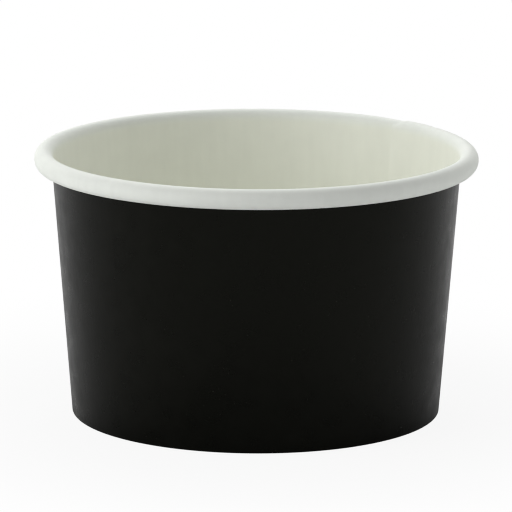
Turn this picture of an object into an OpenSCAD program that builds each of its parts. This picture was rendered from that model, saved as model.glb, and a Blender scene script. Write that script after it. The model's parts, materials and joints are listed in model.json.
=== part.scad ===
// Paper dessert cup: a tapered tub of coated board with a rolled rim, made from two blanks.
// The sidewall blank is wrapped into a cone, lap sealed to itself, curled outwards at the top
// and folded in and up at the foot. The bottom blank is a disc with its edge turned down, and
// that skirt is trapped between the wall and the folded hem.
// The origin is the centre of the foot on the table, +Z is up, and all lengths are millimetres.

/* [Cup] */
// Outer diameter over the rolled rim
rim_d = 96; // [86:1:120]
// Height from the table to the top of the rim
cup_h = 58; // [40:1:110]
// Outer diameter of the wall just above the table
base_d = 80; // [66:1:84]

/* [Boards] */
// Thickness of the sidewall board
board_t = 0.4; // [0.3:0.02:0.5]
// Thickness of the bottom board
disc_t = 0.35; // [0.25:0.02:0.5]
// Clearance on each side of the skirt, between the wall and the hem
seal_gap = 0.02; // [0.01:0.01:0.1]

/* [Rolled rim] */
// Width of the roll, measured across the wall
roll_w = 4.1; // [3.4:0.1:5.4]
// Height of the roll, which is pressed a little oval
roll_h = 4.4; // [3.4:0.1:5.6]
// How many turns the board makes in the roll
roll_turns = 1.35; // [1.15:0.05:1.55]
// Clearance between one turn of the roll and the next
curl_gap = 0.1; // [0.05:0.01:0.2]

/* [Foot] */
// Height of the underside of the bottom above the table
recess_h = 7.2; // [4.5:0.1:12]
// How far the free edge of the hem stops below the underside of the bottom
hem_clear = 1.2; // [1:0.1:2]
// How far the edge of the skirt stops above the inside of the foot fold
skirt_clear = 0.3; // [0.1:0.1:1]
// Radius inside the fold at the foot
fold_r = 0.02; // [0.01:0.01:0.06]
// Radius inside the bend between the bottom and its skirt
bend_r = 0.5; // [0.3:0.1:1]

/* [Side seam] */
// Width of the overlap where the two ends of the blank are sealed
lap_w = 7; // [4:0.5:12]
// Direction of the inner cut edge of the seam, anticlockwise from +X
seam_angle = 47; // [0:1:359]
// Distance over which the board steps over the edge that it covers
step_w = 3; // [1:0.1:5]
// Share of the board's thickness by which the seam still swells the pressed roll
seam_swell = 0.35; // [0.2:0.05:1]

/* [Hidden] */
$fn = 180;
black_print = [0.08, 0.08, 0.08];
white_board = [0.93, 0.94, 0.91];

// Angle between one point of an arc and the next
arc_step = 10;
// How deep a layer starts below the face that it lies on, so that it fuses with it
sink = 0.05;
// Height over which the overlap rises to its full thickness where the foot is folded
rise_h = 2;

// Mid-line of the sidewall board, in the plane of radius and height
half_t = board_t / 2;
roll_a = roll_w / 2 - half_t;
roll_b = roll_h / 2 - half_t;
fold_mid_r = fold_r + half_t;
roll_c = [rim_d / 2 - roll_w / 2, cup_h - roll_h / 2];
foot_c = [base_d / 2 - half_t - fold_mid_r, half_t + fold_mid_r];
// The straight wall is the line that touches the fold on its outside and the roll on its inside
wall_run = roll_c - foot_c;
wall_dir = atan2(wall_run[1], wall_run[0]) + asin((roll_a + fold_mid_r) / norm(wall_run));
taper = 90 - wall_dir;
along = [sin(taper), cos(taper)];
outward = [cos(taper), -sin(taper)];
// Distance between the middles of wall and hem, with the skirt between them
hem_pitch = board_t + disc_t + 2 * seal_gap;
hem_c = foot_c - [(hem_pitch - 2 * fold_mid_r) / cos(taper), 0];
hem_top_z = recess_h - hem_clear;

// Points of an arc, both ends included
function arc(c, r, from, to) =
    let (n = ceil(abs(to - from) / arc_step))
    [for (i = [0 : n]) let (a = from + (to - from) * i / n) c + r * [cos(a), sin(a)]];

// Point at a height on the wall's mid-line, or on a line beside it that lies further in
function wall_at(z, inside = 0) =
    let (p = foot_c + (fold_mid_r - inside) * outward) p + along * (z - p[1]) / along[1];

// How far the roll's mid-line has drawn in after the board has turned through an angle: nothing
// at first, then enough for the second turn to lie inside the first
roll_round = 225;
roll_shrink = board_t + curl_gap;
function drawn_in(turned) =
    roll_shrink * min(1, max(0, turned - roll_round) / (360 - roll_round));

// The roll starts where the oval runs along the wall
roll_start = 180 - atan(roll_b / roll_a * tan(taper));
roll_first = floor(roll_start / arc_step - 0.001) * arc_step;
roll_end = roll_start - 360 * roll_turns;
function roll_point(a) =
    let (d = drawn_in(roll_start - a)) roll_c + [(roll_a - d) * cos(a), (roll_b - d) * sin(a)];
roll_line = [
    roll_point(roll_start),
    for (a = [roll_first : -arc_step : roll_end + arc_step / 2]) roll_point(a),
    roll_point(roll_end)
];

board_line = concat(
    [wall_at(hem_top_z, hem_pitch)],
    arc(hem_c, fold_mid_r, 180 - taper, 270),
    arc(foot_c, fold_mid_r, 270, 360 - taper),
    roll_line
);

// Normals of a line, to the right of its direction, long enough to keep parallel faces parallel
function unit(v) = v / norm(v);
function right_of(v) = [v[1], -v[0]];
function normals(line) = [
    for (i = [0 : len(line) - 1])
        let (
            before = i > 0 ? right_of(unit(line[i] - line[i - 1])) : undef,
            after = i < len(line) - 1 ? right_of(unit(line[i + 1] - line[i])) : undef
        )
        i == 0 ? after : i == len(line) - 1 ? before : (before + after) / (1 + before * after)
];

// Closed outline of a board of thickness t along its mid-line
function board_outline(line, t) =
    let (n = normals(line), last = len(line) - 1)
    concat(
        [for (i = [0 : last]) line[i] + n[i] * t / 2],
        [for (i = [last : -1 : 0]) line[i] - n[i] * t / 2]
    );

// Mid-line of the bottom board: up the skirt, round the bend and in to the middle
skirt_in = half_t + seal_gap + disc_t / 2;
skirt_foot_z = board_t + fold_r + skirt_clear;
bend_mid_r = bend_r + disc_t / 2;
disc_z = recess_h + disc_t / 2;
bend_foot_z = disc_z - bend_mid_r * (1 + sin(taper));
bend_c = wall_at(bend_foot_z, skirt_in) - bend_mid_r * outward;
disc_line = concat(
    [wall_at(skirt_foot_z, skirt_in)],
    arc(bend_c, bend_mid_r, -taper, 90),
    [[0, disc_z]]
);

// Seam
lap_angle = lap_w / (base_d / 2) * 180 / PI;
step_angle = step_w / (base_d / 2) * 180 / PI;
lap_from = seam_angle - lap_angle;
lap_cuts = 3;
// Each station of a layer is an angle and the share of the layer's height there, where 0 is sunk
function lap_stations() = [for (i = [0 : lap_cuts]) [lap_from + lap_angle * i / lap_cuts, 1]];
outer_stations = concat(lap_stations(), [[seam_angle + step_angle, 0]]);
roll_stations = concat([[lap_from - step_angle, 0]], lap_stations());

// A solid between two faces, each a grid of [radius, height] points for each angle
module between(angles, inner, outer) {
    n = len(inner[0]);
    m = len(angles);
    function at(grid, k, j) =
        [grid[k][j][0] * cos(angles[k]), grid[k][j][0] * sin(angles[k]), grid[k][j][1]];
    function lower(k, j) = k * n + j;
    function upper(k, j) = (m + k) * n + j;
    polyhedron(
        points = concat(
            [for (k = [0 : m - 1]) for (j = [0 : n - 1]) at(inner, k, j)],
            [for (k = [0 : m - 1]) for (j = [0 : n - 1]) at(outer, k, j)]
        ),
        faces = concat(
            [for (k = [0 : m - 2]) for (j = [0 : n - 2])
                [upper(k, j), upper(k, j + 1), upper(k + 1, j + 1), upper(k + 1, j)]],
            [for (k = [0 : m - 2]) for (j = [0 : n - 2])
                [lower(k, j), lower(k + 1, j), lower(k + 1, j + 1), lower(k, j + 1)]],
            [for (j = [0 : n - 2])
                [lower(0, j), lower(0, j + 1), upper(0, j + 1), upper(0, j)]],
            [for (j = [0 : n - 2])
                [lower(m - 1, j), upper(m - 1, j), upper(m - 1, j + 1), lower(m - 1, j + 1)]],
            [for (k = [0 : m - 2])
                [lower(k, 0), upper(k, 0), upper(k + 1, 0), lower(k + 1, 0)]],
            [for (k = [0 : m - 2])
                [lower(k, n - 1), lower(k + 1, n - 1), upper(k + 1, n - 1), upper(k, n - 1)]]
        ),
        convexity = 4
    );
}

// A layer on the right of a line along the middle of the board. It starts at that line and
// stands proud by heights, full at the stations of share 1 and just sunk at those of share 0.
module layer(line, heights, stations) {
    side = normals(line);
    between(
        [for (s = stations) s[0]],
        [for (s = stations) line],
        [for (s = stations) [
            for (j = [0 : len(line) - 1])
                line[j] + side[j] * (half_t - sink + (heights[j] + sink) * s[1])
        ]]
    );
}

// Outer end of the blank, which covers the inner end on the outside of the wall
fold_top_z = board_t + fold_r;
module outer_flap() {
    z = [fold_top_z, fold_top_z + rise_h, roll_c[1]];
    layer([for (h = z) wall_at(h)], [-sink, board_t, board_t], outer_stations);
}

// The same end where it is folded up into the hem under the bottom
module hem_flap() {
    z = [hem_top_z - board_t, fold_top_z + rise_h, fold_top_z];
    layer([for (h = z) wall_at(h, hem_pitch)], [board_t, board_t, -sink], outer_stations);
}

// The seam in the roll: the inner end of the blank comes out on top and swells the roll outwards
// a little. Its points lie half way between those of the roll.
roll_flap_low = -145;
roll_flap_high = 155;
seam_rise = seam_swell * board_t;
module roll_flap() {
    angles = [roll_flap_low : arc_step : roll_flap_high];
    line = [for (a = angles) roll_point(a)];
    swell = [for (a = angles)
        a == roll_flap_low || a == roll_flap_high ? -sink : seam_rise * (1 + cos(a)) / 2];
    layer(line, swell, roll_stations);
}

// Channel along the inner cut edge, where the outer end of the blank steps out to cover it
module seam_channel() {
    floor_z = recess_h + disc_t + bend_r;
    z = [floor_z, floor_z + rise_h, roll_c[1] - 2 * rise_h, roll_c[1] - rise_h];
    full = [0, 1, 1, 0];
    between(
        [seam_angle, seam_angle + step_angle],
        [for (i = [0 : 1]) [for (h = z) wall_at(h) - board_t * outward]],
        [for (share = [1, 0]) [
            for (j = [0 : 3])
                wall_at(z[j]) + outward * ((board_t + sink) * share * full[j] - sink - half_t)
        ]]
    );
}

// One blank: hem, foot, wall and rolled rim, with its lap seam
module sidewall() {
    color(black_print)
    difference() {
        union() {
            rotate_extrude() polygon(board_outline(board_line, board_t));
            outer_flap();
            hem_flap();
            roll_flap();
        }
        seam_channel();
    }
}

// One blank: a recessed disc with its edge turned down
module bottom_disc() {
    color(white_board)
    rotate_extrude() polygon(board_outline(disc_line, disc_t));
}

sidewall();
bottom_disc();
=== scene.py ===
import json
import math

import bmesh
import bpy
from bpy.props import FloatProperty, FloatVectorProperty, IntProperty, PointerProperty
from mathutils import Matrix, Vector, noise


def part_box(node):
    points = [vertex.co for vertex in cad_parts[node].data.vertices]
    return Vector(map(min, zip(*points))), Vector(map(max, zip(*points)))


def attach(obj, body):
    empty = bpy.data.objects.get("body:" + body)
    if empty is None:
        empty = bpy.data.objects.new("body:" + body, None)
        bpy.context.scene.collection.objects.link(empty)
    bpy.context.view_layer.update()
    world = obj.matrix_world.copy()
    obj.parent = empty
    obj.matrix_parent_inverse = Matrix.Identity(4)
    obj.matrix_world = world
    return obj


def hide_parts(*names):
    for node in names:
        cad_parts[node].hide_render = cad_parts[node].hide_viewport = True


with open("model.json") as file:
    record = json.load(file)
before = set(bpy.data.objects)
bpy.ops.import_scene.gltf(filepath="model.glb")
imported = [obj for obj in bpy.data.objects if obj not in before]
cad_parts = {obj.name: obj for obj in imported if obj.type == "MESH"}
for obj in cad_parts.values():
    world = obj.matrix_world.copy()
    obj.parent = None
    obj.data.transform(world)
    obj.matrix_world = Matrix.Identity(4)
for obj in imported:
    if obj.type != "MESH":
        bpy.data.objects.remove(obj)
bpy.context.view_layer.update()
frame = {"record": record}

bl_info = {
    "name": "Paper Dessert Cup",
    "version": (1, 0, 0),
    "blender": (4, 5, 0),
    "location": "View3D > Sidebar > Cup",
    "description": "Wraps, curls and hems a coated board blank round a recessed disc",
    "category": "Add Mesh",
}

WALL_LOW, WALL_HIGH = (Vector(corner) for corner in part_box("sidewall"))
DISC_LOW, DISC_HIGH = (Vector(corner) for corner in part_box("bottom_disc"))
MOUNTS = {mount["name"]: Vector(mount["pos_m"]) for mount in frame["record"]["mounts"]}
MM = 0.001
TURN = 2 * math.pi


# Kinds of setting

def length(name, description, default):
    """A length that a user may change, in metres and stored to a hundredth of a millimetre."""
    return FloatProperty(
        name=name, description=description, default=default, min=0.0, precision=5,
        subtype="DISTANCE", unit="LENGTH",
    )


def angle(name, description, default):
    """An angle that a user may change, given here in degrees."""
    return FloatProperty(
        name=name, description=description, default=math.radians(default), subtype="ANGLE",
        unit="ROTATION",
    )


def colour(name, description, default):
    """A surface colour, in linear light."""
    return FloatVectorProperty(
        name=name, description=description, default=default, size=3, min=0.0, max=1.0,
        subtype="COLOR",
    )


def share(name, description, default):
    """A number between nothing and all."""
    return FloatProperty(
        name=name, description=description, default=default, min=0.0, max=1.0, subtype="FACTOR",
    )


def power(name, description, default):
    """The power of a lamp, in watts."""
    return FloatProperty(
        name=name, description=description, default=default, min=0.0, unit="POWER",
    )


# Settings that a user may change

class CupSizes(bpy.types.PropertyGroup):
    rim_d: length("Rim diameter", "Outer diameter over the rolled rim", WALL_HIGH.x - WALL_LOW.x)
    roll_z: length("Roll centre", "Height of the middle of the roll", MOUNTS["rim"].z)
    base_d: length("Foot diameter", "Outer diameter of the wall just above the table", 80 * MM)
    board_t: length("Board", "Thickness of the sidewall board", 0.4 * MM)
    disc_t: length("Bottom board", "Thickness of the bottom board", 0.35 * MM)
    seal_gap: length("Seal gap", "Clearance on each side of the skirt", 0.02 * MM)
    roll_w: length("Roll width", "Width of the roll, across the wall", 4.1 * MM)
    roll_h: length("Roll height", "Height of the roll, which is pressed a little oval", 4.4 * MM)
    roll_turns: FloatProperty(
        name="Turns", description="Turns that the board makes in the roll", default=1.35,
        min=1.1, max=1.6,
    )
    curl_gap: length("Curl gap", "Clearance between the turns of the roll", 0.1 * MM)
    hem_clear: length("Hem clearance", "How far the hem stops below the bottom", 1.2 * MM)
    fold_r: length("Fold radius", "Radius inside the fold at the foot", 0.02 * MM)
    bend_r: length("Bend radius", "Radius inside the bend of the bottom", 0.5 * MM)
    lap_w: length("Overlap", "Width of the side seam", 7 * MM)
    step_w: length("Step", "Distance over which the inner end settles into the roll", 3 * MM)
    ease_w: length("Ease", "Distance over which the outer end eases out to the overlap", 7 * MM)
    spring: length("Spring", "How far the inner end springs in beside its cut edge", 0.15 * MM)
    seam_swell: share("Seam swell", "Share of the board that swells the roll at the seam", 0.35)
    pressed: share("Pressed edge", "Share of the board left at the cut edge on the roll", 0.3)
    press_w: length("Press width", "Distance over which that edge is pressed thin", 3 * MM)
    seam_angle: angle("Seam", "Direction of the inner cut edge, from +X", 47)
    knurls: IntProperty(
        name="Knurls", description="Ridges pressed into the hem", default=123, min=20, max=240,
    )
    knurl_h: length("Knurl height", "How far a ridge stands out of the hem", 0.12 * MM)


class CupFinish(bpy.types.PropertyGroup):
    print_colour: colour("Print", "Matt black ink on the outside", (0.0013, 0.0013, 0.0010))
    coat_colour: colour("Coating", "White coated board where it is rolled", (0.916, 0.943, 0.888))
    # The inside colour is the board's colour painted creamier and a little darker: painted shade
    # for the light that bounces round inside the cup
    inside_painted_shade: colour("Inside", "The same board inside, but creamier", (0.915, 0.928, 0.842))
    core_colour: colour("Cut edge", "Bare fibre of a cut edge", (0.74, 0.72, 0.64))
    print_rough: share("Print roughness", "Roughness of the ink", 0.30)
    coat_rough: share("Coating roughness", "Roughness of the coating", 0.58)


class CupStage(bpy.types.PropertyGroup):
    distance: length("Distance", "From the camera to the middle of the cup", 1055 * MM)
    elevation: angle("Elevation", "Angle of the camera above the horizon", 12.5)
    roll: angle("Roll", "Turn of the camera about its own axis", 0.22)
    lens: FloatProperty(
        name="Lens", description="Focal length on a 36 mm sensor, in millimetres",
        default=341.3, min=20.0, unit="CAMERA",
    )
    look_z: length("Look height", "Height that the picture is centred on", 34 * MM)
    ambient: FloatProperty(
        name="Ambient", description="Strength of the even light from all sides", default=0.351,
        min=0.0,
    )
    key_power: power("Key lamp", "Power of the large lamp on the left", 5.95)
    fill_power: power("Fill lamp", "Power of the lamp behind the cup", 5.4)
    side_power: power("Side lamp", "Power of the small lamp on the right", 0.75)


# The blank's section

def point_on(centre, radius, degrees):
    """Point of a circle in the plane of radius and height, at an angle in degrees."""
    turn = math.radians(degrees)
    return centre + radius * Vector((math.cos(turn), math.sin(turn)))


def arc(centre, radius, start, stop, count):
    """Points of an arc, both ends included."""
    return [
        point_on(centre, radius, start + (stop - start) * i / count) for i in range(count + 1)
    ]


def smooth(value, low, high):
    """0 below low, 1 above high, and an even S between them."""
    x = min(1.0, max(0.0, (value - low) / (high - low)))
    return x * x * (3 - 2 * x)


def between_ends(value, low_from, low_to, high_from, high_to):
    """0 outside, 1 in the middle, and an even S on each side."""
    return smooth(value, low_from, low_to) * (1 - smooth(value, high_from, high_to))


class BlankShape:
    """The mid-line of the wrapped blank, worked out from the sizes as on a maker's drawing."""

    # Degrees for which the roll stays on its oval before it draws in, and between its points
    ROLL_ROUND = 225
    ROLL_STEP = 12
    FOLD_STEPS = 6
    HEM_STEPS = 10
    # Heights of the points on the wall, in millimetres
    WALL_HEIGHTS = [1.0, 1.8, 2.6, 4, 6, 9, 14, 20, 26, 32, 38, 44, 49, 52, 54]

    def __init__(self, sizes):
        self.sizes = sizes
        self.half = sizes.board_t / 2
        self.roll_a = sizes.roll_w / 2 - self.half
        self.roll_b = sizes.roll_h / 2 - self.half
        self.fold_r = sizes.fold_r + self.half
        self.roll_c = Vector((sizes.rim_d / 2 - sizes.roll_w / 2, sizes.roll_z))
        self.foot_c = Vector((sizes.base_d / 2 - self.half - self.fold_r, self.half + self.fold_r))
        run = self.roll_c - self.foot_c
        wall_dir = math.atan2(run.y, run.x) + math.asin((self.roll_a + self.fold_r) / run.length)
        taper = math.pi / 2 - wall_dir
        self.taper = math.degrees(taper)
        self.along = Vector((math.sin(taper), math.cos(taper)))
        self.outward = Vector((math.cos(taper), -math.sin(taper)))
        self.pitch = sizes.board_t + sizes.disc_t + 2 * sizes.seal_gap
        flat = (self.pitch - 2 * self.fold_r) / math.cos(taper)
        self.hem_c = self.foot_c - Vector((flat, 0))
        self.hem_top = DISC_HIGH.z - sizes.disc_t - sizes.hem_clear

    def wall_at(self, z, inside=0.0):
        """Point at a height on the wall's mid-line, or on a line beside it, further in."""
        start = self.foot_c + (self.fold_r - inside) * self.outward
        return start + self.along * (z - start.y) / self.along.y

    def roll_point(self, start, turned):
        """Point of the roll, which is oval at first and then draws in under its first turn."""
        drawn = min(1.0, max(0.0, turned - self.ROLL_ROUND) / (360 - self.ROLL_ROUND))
        inward = (self.sizes.board_t + self.sizes.curl_gap) * drawn
        turn = math.radians(start - turned)
        across = (self.roll_a - inward) * math.cos(turn)
        up = (self.roll_b - inward) * math.sin(turn)
        return self.roll_c + Vector((across, up))

    def stations(self):
        """Each station is a point of the mid-line and how far the roll has turned there, with
        None on the hem, the fold and the wall."""
        hem_low = self.wall_at(self.hem_c.y, self.pitch)
        hem_high = self.wall_at(self.hem_top, self.pitch)
        line = [hem_high.lerp(hem_low, i / self.HEM_STEPS) for i in range(self.HEM_STEPS)]
        line += arc(self.hem_c, self.fold_r, 180 - self.taper, 270, self.FOLD_STEPS)
        line += arc(self.foot_c, self.fold_r, 270, 360 - self.taper, self.FOLD_STEPS)
        line += [self.wall_at(z * MM) for z in self.WALL_HEIGHTS]
        made = [(point, None) for point in line]
        lean = math.tan(math.radians(self.taper))
        start = 180 - math.degrees(math.atan(self.roll_b / self.roll_a * lean))
        whole = 360 * self.sizes.roll_turns
        for i in range(math.ceil(whole / self.ROLL_STEP) + 1):
            turned = min(whole, i * self.ROLL_STEP)
            made.append((self.roll_point(start, turned), turned))
        return made


def line_normals(points):
    """Unit normals to the right of a line, which is the printed side of the blank."""
    normals = []
    last = len(points) - 1
    for i in range(last + 1):
        run = points[min(i + 1, last)] - points[max(i - 1, 0)]
        normals.append(Vector((run.y, -run.x)).normalized())
    return normals


# Meshes

def drop_earlier(name):
    """Drops an earlier object of this name, so that an operator can be run again."""
    old = bpy.data.objects.get(name)
    if old is not None:
        bpy.data.objects.remove(old, do_unlink=True)


def add_object(name, data):
    """Puts new data into the scene as an object, unturned and at the origin."""
    drop_earlier(name)
    made = bpy.data.objects.new(name, data)
    bpy.context.scene.collection.objects.link(made)
    return made


def put_in_order(bm):
    """Lists edges and faces by the numbers of their points. The spin lists them in an order that
    changes from run to run, and the mesh has to come out the same each time."""
    bm.verts.index_update()
    count = len(bm.verts)

    def rank(part):
        number = 0
        for index in sorted(vert.index for vert in part.verts)[:3]:
            number = number * count + index
        return number

    for parts in (bm.edges, bm.faces):
        parts.sort(key=rank)
        parts.index_update()


def add_piece(name, bm, materials):
    """Turns a finished form into an object with its materials."""
    put_in_order(bm)
    mesh = bpy.data.meshes.new(name)
    bm.to_mesh(mesh)
    bm.free()
    for material in materials:
        mesh.materials.append(material)
    return add_object(name, mesh)


def spin_line(bm, points, start, sweep, steps, closed):
    """Spins a line of points, given as radius and height, about the cup's axis."""
    profile = [bm.verts.new((point.x, 0.0, point.y)) for point in points]
    edges = [bm.edges.new(pair) for pair in zip(profile, profile[1:])]
    bmesh.ops.rotate(
        bm, cent=(0, 0, 0), matrix=Matrix.Rotation(start, 3, "Z"), verts=profile,
    )
    bmesh.ops.spin(
        bm, geom=profile + edges, cent=(0, 0, 0), axis=(0, 0, 1), dvec=(0, 0, 0), angle=sweep,
        steps=steps, use_merge=closed, use_normal_flip=False, use_duplicate=False,
    )


def give_thickness(piece, thickness, shares=None):
    """Thickens a sheet to both sides, by each point's own share of the thickness where they are
    given. The side that the faces point to keeps the first material, the other side takes the
    second, and the cut edges take the third."""
    board = piece.modifiers.new("Board", "SOLIDIFY")
    board.thickness = thickness
    board.offset = 0.0
    board.use_even_offset = True
    board.material_offset = 1
    board.material_offset_rim = 2
    if shares:
        group = piece.vertex_groups.new(name="board_share")
        for index, part in enumerate(shares):
            group.add([index], part, "REPLACE")
        board.vertex_group = group.name
        board.thickness_vertex_group = 0.0
    with bpy.context.temp_override(object=piece, active_object=piece):
        bpy.ops.object.modifier_apply(modifier=board.name)
    piece.vertex_groups.clear()


def shade(piece):
    """Smooth faces with sharp cut edges."""
    cut_edge = math.radians(35)
    piece.data.polygons.foreach_set("use_smooth", [True] * len(piece.data.polygons))
    piece.data.set_sharp_from_angle(angle=cut_edge)
    piece.data.update()


# Shader nodes

class Nodes:
    """Adds and joins the nodes of a material or of the world."""

    def __init__(self, owner):
        self.owner = owner
        owner.use_nodes = True
        self.tree = owner.node_tree
        self.tree.nodes.clear()

    def add(self, kind, inputs=None, **settings):
        """Adds a node. An input that comes from another node is linked, and others are set."""
        node = self.tree.nodes.new(kind)
        for key, value in settings.items():
            setattr(node, key, value)
        for key, value in (inputs or {}).items():
            if isinstance(value, bpy.types.NodeSocket):
                self.tree.links.new(value, node.inputs[key])
            else:
                node.inputs[key].default_value = value
        return node

    def maths(self, operation, first, second):
        return self.add("ShaderNodeMath", {0: first, 1: second}, operation=operation).outputs[0]

    def vector_maths(self, operation, first, second=(0.0, 0.0, 0.0), output="Vector"):
        made = self.add("ShaderNodeVectorMath", {0: first, 1: second}, operation=operation)
        return made.outputs[output]

    def ramp(self, value, ends, results):
        """A value that runs smoothly from one result to the other between two ends."""
        return self.add(
            "ShaderNodeMapRange",
            {
                "Value": value, "From Min": ends[0], "From Max": ends[1],
                "To Min": results[0], "To Max": results[1],
            },
            interpolation_type="SMOOTHSTEP",
        ).outputs["Result"]

    def mix_shaders(self, factor, first, second):
        return self.add(
            "ShaderNodeMixShader", {0: factor, 1: first.outputs[0], 2: second.outputs[0]}
        )

    def seen_directly(self, ray):
        """1 for a camera, glossy or transmission ray, and 0 for the rays that carry light."""
        glossy = self.maths("MAXIMUM", ray.outputs["Is Camera Ray"], ray.outputs["Is Glossy Ray"])
        return self.maths("MAXIMUM", glossy, ray.outputs["Is Transmission Ray"])


class MaterialNodes(Nodes):
    """The nodes of one material, whose patterns lie on the object's own coordinates."""

    # Streaks are grain that is drawn out along the height of the cup
    STREAK_STRETCH = (1.0, 1.0, 0.09)
    # Heights and distances from the axis between which the inside of the cup, painted creamier as
    # shade for light bounced round in it, becomes the roll
    INSIDE_TOP = (55.2 * MM, 57.4 * MM)
    INSIDE_REACH = (44.6 * MM, 44.9 * MM)

    def __init__(self, name):
        super().__init__(bpy.data.materials.get(name) or bpy.data.materials.new(name))
        self.place = self.add("ShaderNodeTexCoord").outputs["Object"]

    def grain(self, scale, detail, roughness):
        """Even noise, which reads as fibre, cloud or waviness by its scale."""
        return self.add(
            "ShaderNodeTexNoise",
            {"Vector": self.place, "Scale": scale, "Detail": detail, "Roughness": roughness},
        ).outputs["Fac"]

    def streaks(self, scale):
        """Grain along the height of the cup, which is the way that the board's fibres run."""
        drawn = self.vector_maths("MULTIPLY", self.place, self.STREAK_STRETCH)
        return self.add(
            "ShaderNodeTexNoise", {"Vector": drawn, "Scale": scale, "Detail": 3.0}
        ).outputs["Fac"]

    def between(self, factor, low, high):
        """A value that runs from low to high as the factor runs over the noise's usual range."""
        return self.add(
            "ShaderNodeMapRange",
            {"Value": factor, "From Min": 0.3, "From Max": 0.7, "To Min": low, "To Max": high},
        ).outputs["Result"]

    def mottle(self, factor, base, dark, light):
        """A colour that varies between two shares of itself."""
        mix = self.add("ShaderNodeMix", {0: factor}, data_type="RGBA")
        mix.inputs[6].default_value = (*scaled(base, dark), 1.0)
        mix.inputs[7].default_value = (*scaled(base, light), 1.0)
        return mix.outputs[2]

    def inside_shade_mask(self):
        """1 on all that lies inside the cup, where the board is painted creamier and darker as
        painted shade, and 0 on the roll.
        """
        height = self.add("ShaderNodeSeparateXYZ", {"Vector": self.place}).outputs["Z"]
        flat = self.vector_maths("MULTIPLY", self.place, (1.0, 1.0, 0.0))
        reach = self.vector_maths("LENGTH", flat, output="Value")
        low_enough = self.ramp(height, self.INSIDE_TOP, (1.0, 0.0))
        near_enough = self.ramp(reach, self.INSIDE_REACH, (1.0, 0.0))
        return self.maths("MULTIPLY", low_enough, near_enough)

    def bump(self, height, distance, strength, under=None):
        """Relief on the surface, or on the relief that lies under it."""
        inputs = {"Height": height, "Distance": distance, "Strength": strength}
        if under is not None:
            inputs["Normal"] = under
        return self.add("ShaderNodeBump", inputs).outputs["Normal"]

    def finish(self, shader):
        """Joins the shader to the surface and returns the material."""
        self.add("ShaderNodeOutputMaterial", {"Surface": shader.outputs[0]})
        return self.owner


# Finishes

def scaled(colour_value, factor):
    """The same colour, darker or lighter."""
    return tuple(min(1.0, channel * factor) for channel in colour_value)


def matt_print(finish):
    """Matt black ink on coated board: fibre shows faintly through it, with a low sheen."""
    nodes = MaterialNodes("matt_black_print")
    fibre = nodes.grain(scale=1900.0, detail=5.0, roughness=0.6)
    cloud = nodes.grain(scale=240.0, detail=3.0, roughness=0.5)
    sheet = nodes.grain(scale=45.0, detail=2.0, roughness=0.5)
    ink = nodes.mottle(nodes.between(cloud, 0.0, 1.0), finish.print_colour, dark=0.85, light=1.2)
    soft = nodes.bump(sheet, distance=0.6 * MM, strength=0.14)
    cloudy = nodes.bump(cloud, distance=0.12 * MM, strength=0.20, under=soft)
    fibre_lines = nodes.streaks(scale=700.0)
    streaky = nodes.bump(fibre_lines, distance=0.05 * MM, strength=0.25, under=cloudy)
    rough = finish.print_rough
    shader = nodes.add(
        "ShaderNodeBsdfPrincipled",
        {
            "Base Color": ink,
            "Roughness": nodes.between(cloud, rough - 0.05, rough + 0.06),
            "Specular IOR Level": 0.11,
            "Specular Tint": (0.97, 1.0, 0.84, 1.0),
            "Normal": nodes.bump(fibre, distance=0.03 * MM, strength=0.45, under=streaky),
        },
    )
    return nodes.finish(shader)


def coated_white(finish, name="white_coating", shine=0.14):
    """White board under a thin clear coating: soft gloss over a slightly cloudy sheet. Inside the
    cup it is painted creamier and a little darker, as painted shade for the light that bounces
    round in the cup, while the roll keeps the board's own colour."""
    nodes = MaterialNodes(name)
    fibre = nodes.grain(scale=1500.0, detail=4.0, roughness=0.55)
    cloud = nodes.grain(scale=190.0, detail=3.0, roughness=0.5)
    sheet = nodes.grain(scale=38.0, detail=2.0, roughness=0.5)
    half_cloud = nodes.between(cloud, 0.0, 0.5)
    half_streaks = nodes.between(nodes.streaks(scale=620.0), 0.0, 0.5)
    mottled = nodes.maths("ADD", half_cloud, half_streaks)
    rolled = nodes.mottle(mottled, finish.coat_colour, dark=0.975, light=1.02)
    # Painted shade: inside the cup the board takes the creamier, darker colour in place of the
    # light bounced round in the cup
    inside = nodes.mottle(mottled, finish.inside_painted_shade, dark=0.975, light=1.02)
    white = nodes.add(
        "ShaderNodeMix", {0: nodes.inside_shade_mask(), 6: rolled, 7: inside}, data_type="RGBA"
    ).outputs[2]
    soft = nodes.bump(sheet, distance=0.6 * MM, strength=0.10)
    cloudy = nodes.bump(cloud, distance=0.1 * MM, strength=0.10, under=soft)
    rough = finish.coat_rough
    shader = nodes.add(
        "ShaderNodeBsdfPrincipled",
        {
            "Base Color": white,
            "Roughness": nodes.between(fibre, rough - 0.04, rough + 0.05),
            "Specular IOR Level": shine,
            "Normal": nodes.bump(fibre, distance=0.03 * MM, strength=0.22, under=cloudy),
        },
    )
    return nodes.finish(shader)


def bare_core(finish):
    """Cut edge of the board: bare fibre, rough and a little darker than the coating."""
    nodes = MaterialNodes("bare_cut_edge")
    fibre = nodes.grain(scale=5200.0, detail=4.0, roughness=0.6)
    shader = nodes.add(
        "ShaderNodeBsdfPrincipled",
        {
            "Base Color": nodes.mottle(
                nodes.between(fibre, 0.0, 1.0), finish.core_colour, dark=0.86, light=1.1
            ),
            "Roughness": 0.92,
            "Specular IOR Level": 0.2,
            "Normal": nodes.bump(fibre, distance=0.06 * MM, strength=0.6),
        },
    )
    return nodes.finish(shader)


# The two pieces of the cup

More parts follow.
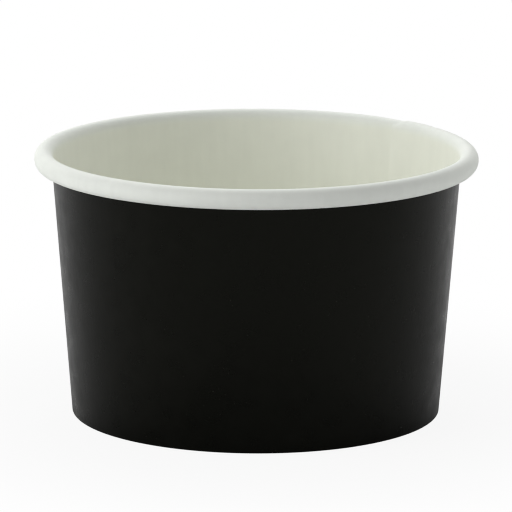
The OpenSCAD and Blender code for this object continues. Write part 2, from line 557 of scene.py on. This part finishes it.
class CUP_OT_sidewall(bpy.types.Operator):
    """Wrap one blank into the wall, with its lap seam, rolled rim and knurled hem"""

    bl_idname = "cup.sidewall"
    bl_label = "Sidewall"

    STEPS_PER_KNURL = 4
    # Shares of the hem's height between which the knurls rise and fade again
    KNURL_BAND = (0.15, 0.25, 0.75, 0.85)
    # Distances from the cut edge at which the spring is full and at which it begins to fall
    SPRING_FULL = 1.1 * MM
    SPRING_FALLS = 2.4 * MM
    # Heights between which the spring rises and fades again
    SPRING_BAND = (8 * MM, 12 * MM, 51 * MM, 55 * MM)
    # Degrees of the roll over which the cut edge becomes pressed, and where the seam's swelling
    # ends because the board has drawn in under its first turn
    PRESS_TURN = 60.0
    SWELL_END = 345
    # Heights between which only the wall lies
    WALL_BAND = (10 * MM, 50 * MM)

    def execute(self, context):
        sizes = context.scene.cup_sizes
        finish = context.scene.cup_finish
        shape = BlankShape(sizes)
        stations = shape.stations()
        wrap = TURN + sizes.lap_w / (sizes.base_d / 2)
        rings = round(sizes.knurls * self.STEPS_PER_KNURL * wrap / TURN)

        bm = bmesh.new()
        points = [point for point, _ in stations]
        spin_line(bm, points, sizes.seam_angle, -wrap, rings, closed=False)
        bm.verts.ensure_lookup_table()
        if len(bm.verts) != len(points) * (rings + 1):
            raise RuntimeError("the wrapped blank has lost some of its points")
        shares = self.settle(bm, shape, stations, wrap, rings)
        if self.printed_side_faces_in(bm):
            bmesh.ops.reverse_faces(bm, faces=bm.faces)

        piece = add_piece(
            "board_sidewall", bm, [matt_print(finish), coated_white(finish), bare_core(finish)]
        )
        give_thickness(piece, sizes.board_t, shares)
        shade(piece)
        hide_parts("sidewall")
        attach(piece, "root")
        return {"FINISHED"}

    def settle(self, bm, shape, stations, wrap, rings):
        """Moves the points of the evenly wrapped blank to where its seam, its knurls and its
        spring put them. Returns each point's share of the board's thickness."""
        sizes = shape.sizes
        radius = sizes.base_d / 2
        lap = sizes.lap_w / radius
        step = sizes.step_w / radius
        ease = sizes.ease_w / radius
        normals = line_normals([point for point, _ in stations])
        shares = []
        for index, vert in enumerate(bm.verts):
            ring, station = divmod(index, len(stations))
            point, turned = stations[station]
            normal = normals[station]
            travelled = wrap * ring / rings
            inner = 1.0 - smooth(travelled, lap, lap + step)
            outer = smooth(travelled, TURN - ease, TURN)
            starting = travelled < math.pi
            past_edge = travelled if starting else travelled - TURN
            free = 1.0 - smooth(past_edge * radius, 0.0, sizes.press_w)
            left = 1.0 - (1.0 - sizes.pressed) * free * self.on_roll(turned)
            shares.append(left if starting else 1.0)
            shift = self.lap_shift(shape, normal, turned, inner, outer, free, left)
            shift += self.knurl(shape, station, normal, vert.co)
            if turned is None:
                shift += self.spring(sizes, point, normal, travelled)
            moved = point + shift
            bearing = sizes.seam_angle - travelled
            vert.co = (moved.x * math.cos(bearing), moved.x * math.sin(bearing), moved.y)
        return shares

    def on_roll(self, turned):
        """0 on the wall and 1 on the roll."""
        return 0.0 if turned is None else smooth(turned, 0.0, self.PRESS_TURN)

    def lap_shift(self, shape, normal, turned, inner, outer, free, left):
        """How far the two ends of the blank move apart where they overlap. In the roll the inner
        end comes out on top. It is pressed thin at its cut edge, where free is 1 and left is the
        share of the board that remains, and it swells the roll on the side away from the wall."""
        board = shape.sizes.board_t
        if turned is None:
            apart = Vector((normal.x, 0.0)) * board * outer
            tucked = Vector((0.0, max(0.0, -normal.y))) * board * 0.5 * inner
            return apart + tucked
        round_roll = math.radians(180 - shape.taper - turned)
        drawn = smooth(turned, shape.ROLL_ROUND, self.SWELL_END)
        outside = shape.sizes.seam_swell * (1 + math.cos(round_roll)) / 2 * (1 - free)
        swell = board * (drawn - outside * (1 - drawn))
        thinned = board * (1 - left) / 2
        return normal * ((swell + thinned) * inner + (swell + board * left) * outer)

    def spring(self, sizes, point, normal, travelled):
        """The inner end lies flat at its cut edge and springs in a little beside it."""
        past_edge = travelled * point.x
        rise = min(1.0, past_edge / self.SPRING_FULL)
        fall = 1 - smooth(past_edge, self.SPRING_FALLS, sizes.lap_w)
        height = between_ends(point.y, *self.SPRING_BAND)
        return -normal * sizes.spring * rise * fall * height

    def knurl(self, shape, station, normal, place):
        """Ridges across the hem, pressed out towards the middle of the foot."""
        if station > shape.HEM_STEPS:
            return Vector((0.0, 0.0))
        band = between_ends(station / shape.HEM_STEPS, *self.KNURL_BAND)
        wave = 0.5 + 0.5 * math.cos(shape.sizes.knurls * math.atan2(place.y, place.x))
        return normal * shape.sizes.knurl_h * band * wave

    def printed_side_faces_in(self, bm):
        """Tells whether the faces of the wall point to the cup's axis."""
        low, high = self.WALL_BAND
        bm.normal_update()
        outward = 0.0
        for face in bm.faces:
            middle = face.calc_center_median()
            if low < middle.z < high:
                outward += face.normal.x * middle.x + face.normal.y * middle.y
        return outward < 0


class CUP_OT_bottom_disc(bpy.types.Operator):
    """Press the bottom disc, with its edge turned down into a skirt"""

    bl_idname = "cup.bottom_disc"
    bl_label = "Bottom disc"

    TURN_STEPS = 240
    BEND_STEPS = 8
    SKIRT_STEPS = 8
    # Shares of the flat bottom's radius at which it has points
    FLAT_SHARES = [0.0, 0.1, 0.3, 0.5, 0.7, 0.85, 0.95]
    # Points that the spin leaves on each other are closer than this
    MERGE = 0.01 * MM
    # The skirt's cut edge is square to its slope, so its mid-line ends this far above its corner
    SKIRT_TRIM = 0.02 * MM
    PLEATS = 61
    PLEAT_DEPTH = 0.06 * MM
    # The pleats begin this far inside the bend, are full this far past it, and fade out over the
    # last of these heights below it
    PLEAT_BEGIN = 1.5 * MM
    PLEAT_FULL = 0.4 * MM
    PLEAT_FADE = 1.0 * MM
    # How quickly the pleats' spacing and depth wander round the disc, and how far
    SPACING_SCALE = 9.0
    DEPTH_SCALE = 3.1
    SPACING_WANDER = 4
    DEPTH_MEAN = 0.6
    # A pleat goes this much down for each length that it goes in
    PLEAT_DROP = 0.7

    def execute(self, context):
        sizes = context.scene.cup_sizes
        finish = context.scene.cup_finish
        shape = BlankShape(sizes)
        half = sizes.disc_t / 2
        inside = shape.half + sizes.seal_gap + half
        bend_r = sizes.bend_r + half
        disc_z = DISC_HIGH.z - half
        bend_foot = disc_z - bend_r * (1 + math.sin(math.radians(shape.taper)))
        bend_c = shape.wall_at(bend_foot, inside) - bend_r * shape.outward
        skirt_low = shape.wall_at(DISC_LOW.z + self.SKIRT_TRIM, inside)
        skirt_high = shape.wall_at(bend_foot, inside)
        line = [Vector((bend_c.x * part, disc_z)) for part in self.FLAT_SHARES]
        line += arc(bend_c, bend_r, 90, -shape.taper, self.BEND_STEPS)
        line += [
            skirt_high.lerp(skirt_low, i / self.SKIRT_STEPS)
            for i in range(1, self.SKIRT_STEPS + 1)
        ]

        bm = bmesh.new()
        spin_line(bm, line, 0.0, TURN, self.TURN_STEPS, closed=True)
        bmesh.ops.remove_doubles(bm, verts=bm.verts, dist=self.MERGE)
        bmesh.ops.recalc_face_normals(bm, faces=bm.faces)
        top = max(bm.faces, key=lambda face: face.calc_center_median().z)
        if top.normal.z < 0:
            bmesh.ops.reverse_faces(bm, faces=bm.faces)
        self.pleat(bm, bend_c.x, bend_foot)
        piece = add_piece(
            "board_bottom", bm,
            [
                coated_white(finish, "white_coating_bottom"),
                coated_white(finish, "plain_white_underside", shine=0.10),
                bare_core(finish),
            ],
        )
        give_thickness(piece, sizes.disc_t)
        shade(piece)
        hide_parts("bottom_disc")
        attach(piece, "root")
        return {"FINISHED"}

    def pleat(self, bm, bend_x, bend_foot):
        """Fine gathers round the bend, where the flat disc was drawn down into the skirt."""
        begin = bend_x - self.PLEAT_BEGIN
        for vert in bm.verts:
            reach = math.hypot(vert.co.x, vert.co.y)
            if reach < begin:
                continue
            bearing = math.atan2(vert.co.y, vert.co.x)
            spot = Vector((math.cos(bearing), math.sin(bearing), 0.0)) * self.SPACING_SCALE
            wander = self.SPACING_WANDER * noise.noise(spot)
            gather = 0.5 + 0.5 * math.sin(self.PLEATS * bearing + wander)
            on_bend = smooth(reach, begin, bend_x + self.PLEAT_FULL)
            above = smooth(vert.co.z, bend_foot - self.PLEAT_FADE, bend_foot)
            uneven = self.DEPTH_MEAN + noise.noise(spot * self.DEPTH_SCALE)
            depth = self.PLEAT_DEPTH * gather * on_bend * above * uneven
            inward = Vector((-math.cos(bearing), -math.sin(bearing), -self.PLEAT_DROP))
            vert.co += inward * max(0.0, depth)


# The stage

class CUP_OT_stage(bpy.types.Operator):
    """Set the cup on a pale floor under soft lamps, and aim the camera"""

    bl_idname = "cup.stage"
    bl_label = "Stage"

    FLOOR_HALF = 3.0
    FLOOR_DROP = 0.02 * MM
    FLOOR_COLOUR = (0.90, 0.90, 0.90, 1.0)
    WHITE = (1.0, 1.0, 1.0, 1.0)
    # Distances from the cup's axis over which the floor that the camera sees is lifted to white
    NEAR_LIFT = (40 * MM, 130 * MM)
    # The same for the floor that reflections show too, and the share that is lifted near the cup
    FAR_LIFT = (250 * MM, 600 * MM)
    NEAR_SHARE = 0.90
    # Where each lamp stands, and its diameter, in metres
    LAMPS = {
        "key_lamp": ((-1.00, -0.26, 0.41), 1.1),
        "fill_lamp": ((-0.08, 0.76, 0.82), 0.8),
        "side_lamp": ((0.95, 0.35, 0.30), 0.6),
    }
    LAMP_AIM = Vector((0.0, 0.0, 30 * MM))
    # The camera's distance is measured from the pivot, and it looks this far beside the axis
    CAMERA_PIVOT = Vector((0.0, 0.0, 28.1 * MM))
    CAMERA_ASIDE = -0.02 * MM
    SENSOR_WIDTH = 36.0
    CLIP = (0.05, 20.0)
    FILTER_WIDTH = 1.2

    def execute(self, context):
        stage = context.scene.cup_stage
        context.scene.view_settings.view_transform = "Standard"
        context.scene.cycles.filter_width = self.FILTER_WIDTH
        self.floor()
        self.world(context.scene, stage.ambient)
        self.lamp("key_lamp", stage.key_power)
        self.lamp("fill_lamp", stage.fill_power)
        self.lamp("side_lamp", stage.side_power)
        self.camera(context.scene, stage)
        return {"FINISHED"}

    def floor(self):
        """A sheet that keeps the cup's shadow, is white further out, and hides nothing from
        below."""
        bm = bmesh.new()
        bmesh.ops.create_grid(bm, x_segments=1, y_segments=1, size=self.FLOOR_HALF)
        bmesh.ops.translate(bm, verts=bm.verts, vec=(0, 0, -self.FLOOR_DROP))
        nodes = MaterialNodes("pale_floor")
        away = nodes.vector_maths("LENGTH", nodes.place, output="Value")
        near = nodes.ramp(away, self.NEAR_LIFT, (self.NEAR_SHARE, 1.0))
        far = nodes.ramp(away, self.FAR_LIFT, (0.0, 1.0))
        ray = nodes.add("ShaderNodeLightPath")
        lifted = nodes.maths("MULTIPLY", near, ray.outputs["Is Camera Ray"])
        beyond = nodes.maths("MULTIPLY", far, nodes.seen_directly(ray))
        factor = nodes.maths("MAXIMUM", lifted, beyond)
        paper = nodes.add("ShaderNodeBsdfDiffuse", {"Color": self.FLOOR_COLOUR, "Roughness": 0.5})
        glow = nodes.add("ShaderNodeEmission", {"Color": self.WHITE, "Strength": 1.0})
        mix = nodes.mix_shaders(factor, paper, glow)
        below = nodes.add("ShaderNodeNewGeometry").outputs["Backfacing"]
        clear = nodes.add("ShaderNodeBsdfTransparent")
        sheet = nodes.mix_shaders(below, mix, clear)
        floor = add_piece("stage_floor", bm, [nodes.finish(sheet)])

    def world(self, scene, ambient):
        """Even light from all sides, where the camera and reflections see plain white."""
        scene.world = bpy.data.worlds.get("soft_room") or bpy.data.worlds.new("soft_room")
        nodes = Nodes(scene.world)
        seen = nodes.seen_directly(nodes.add("ShaderNodeLightPath"))
        even = nodes.add("ShaderNodeBackground", {"Color": self.WHITE, "Strength": ambient})
        white = nodes.add("ShaderNodeBackground", {"Color": self.WHITE, "Strength": 1.0})
        mix = nodes.mix_shaders(seen, even, white)
        nodes.add("ShaderNodeOutputWorld", {"Surface": mix.outputs[0]})

    def lamp(self, name, watts):
        """A round soft lamp that shines on the cup."""
        place, size = self.LAMPS[name]
        light = bpy.data.lights.new(name, "AREA")
        light.shape = "DISK"
        light.size = size
        light.energy = watts
        lamp = add_object(name, light)
        lamp.location = place
        aim = self.LAMP_AIM - Vector(place)
        lamp.rotation_euler = aim.to_track_quat("-Z", "Y").to_euler()

    def camera(self, scene, stage):
        """The camera, far off and looking down a little, as in the photograph."""
        back = Vector((0.0, -math.cos(stage.elevation), math.sin(stage.elevation)))
        data = bpy.data.cameras.new("photo_camera")
        data.lens = stage.lens
        data.sensor_width = self.SENSOR_WIDTH
        data.clip_start, data.clip_end = self.CLIP
        camera = add_object("photo_camera", data)
        camera.location = self.CAMERA_PIVOT + back * stage.distance
        aim = Vector((self.CAMERA_ASIDE, 0.0, stage.look_z)) - camera.location
        turn = aim.to_track_quat("-Z", "Y").to_matrix() @ Matrix.Rotation(stage.roll, 3, "Z")
        camera.rotation_euler = turn.to_euler()
        scene.camera = camera


# Panel and registration

class CUP_PT_panel(bpy.types.Panel):
    """The cup's sizes, finishes and stage, with a button for each operator"""

    bl_label = "Paper Cup"
    bl_idname = "CUP_PT_panel"
    bl_space_type = "VIEW_3D"
    bl_region_type = "UI"
    bl_category = "Cup"

    def draw(self, context):
        layout = self.layout
        for group, operators in (
            ("cup_sizes", ("cup.sidewall", "cup.bottom_disc")),
            ("cup_finish", ()),
            ("cup_stage", ("cup.stage",)),
        ):
            settings = getattr(context.scene, group)
            box = layout.box()
            for prop in settings.bl_rna.properties:
                if prop.identifier not in {"rna_type", "name"}:
                    box.prop(settings, prop.identifier)
            for operator in operators:
                box.operator(operator)


GROUPS = {"cup_sizes": CupSizes, "cup_finish": CupFinish, "cup_stage": CupStage}
CLASSES = (*GROUPS.values(), CUP_OT_sidewall, CUP_OT_bottom_disc, CUP_OT_stage, CUP_PT_panel)


def register():
    for cls in CLASSES:
        bpy.utils.register_class(cls)
    for name, cls in GROUPS.items():
        setattr(bpy.types.Scene, name, PointerProperty(type=cls))


def unregister():
    for name in GROUPS:
        delattr(bpy.types.Scene, name)
    for cls in reversed(CLASSES):
        bpy.utils.unregister_class(cls)


def main():
    register()
    bpy.ops.cup.sidewall()
    bpy.ops.cup.bottom_disc()
    bpy.ops.cup.stage()


if __name__ == "__main__":
    main()
